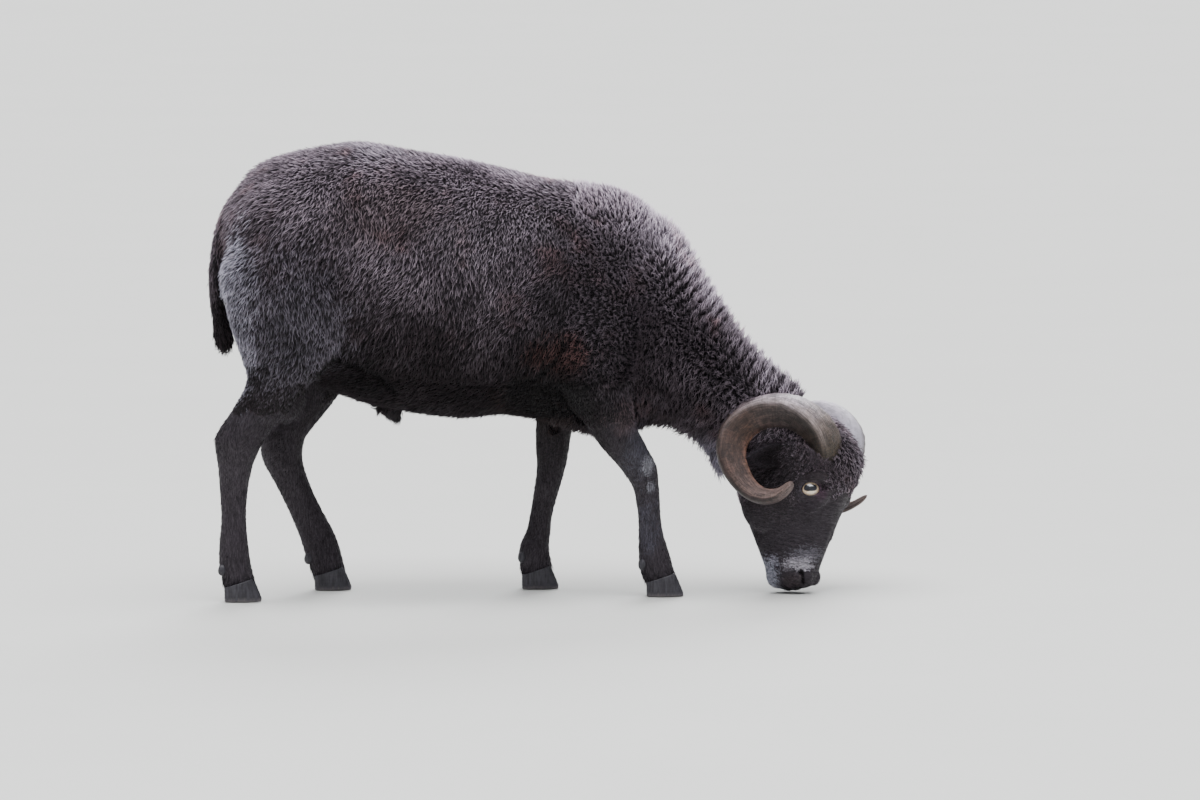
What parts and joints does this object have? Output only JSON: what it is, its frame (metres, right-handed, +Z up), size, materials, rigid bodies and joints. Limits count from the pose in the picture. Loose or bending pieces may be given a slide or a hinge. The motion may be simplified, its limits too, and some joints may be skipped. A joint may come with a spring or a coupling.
{
  "type": "ouessant sheep model",
  "caption": "Life-size still model of a small grazing dark-fleeced ram with coiled horns, head lowered to the ground.",
  "frame": {"origin": "on the floor, under the middle of the animal's bounding box", "axes": "+X the way the ram faces, +Y to its left, +Z up"},
  "size_m": [0.7045, 0.225, 0.4842],
  "materials": {
    "fleece": "dense, matt, dark brown wool with sun-bleached grey-brown tips",
    "short_hair": "short, sleek, near-black hair with a slight sheen",
    "horn": "smooth grey-brown horn with faint rings",
    "hoof": "dark grey horn, worn paler at the edge",
    "eye": "wet gloss, pale iris with a wide dark pupil"
  },
  "bodies": {
    "root": {"torso": "fleece", "neck": "fleece", "head": "short_hair", "tail": "short_hair", "foreleg_right": "short_hair", "foreleg_left": "short_hair", "hindleg_right": "short_hair", "hindleg_left": "short_hair", "thigh_right": "fleece", "thigh_left": "fleece", "horn_right": "horn", "horn_left": "horn", "ear_right": "short_hair", "ear_left": "short_hair", "eye_right": "eye", "eye_left": "eye", "hoof_fore_right_outer": "hoof", "hoof_fore_right_inner": "hoof", "hoof_fore_left_outer": "hoof", "hoof_fore_left_inner": "hoof", "hoof_hind_right_outer": "hoof", "hoof_hind_right_inner": "hoof", "hoof_hind_left_outer": "hoof", "hoof_hind_left_inner": "hoof"}
  },
  "joints": []
}
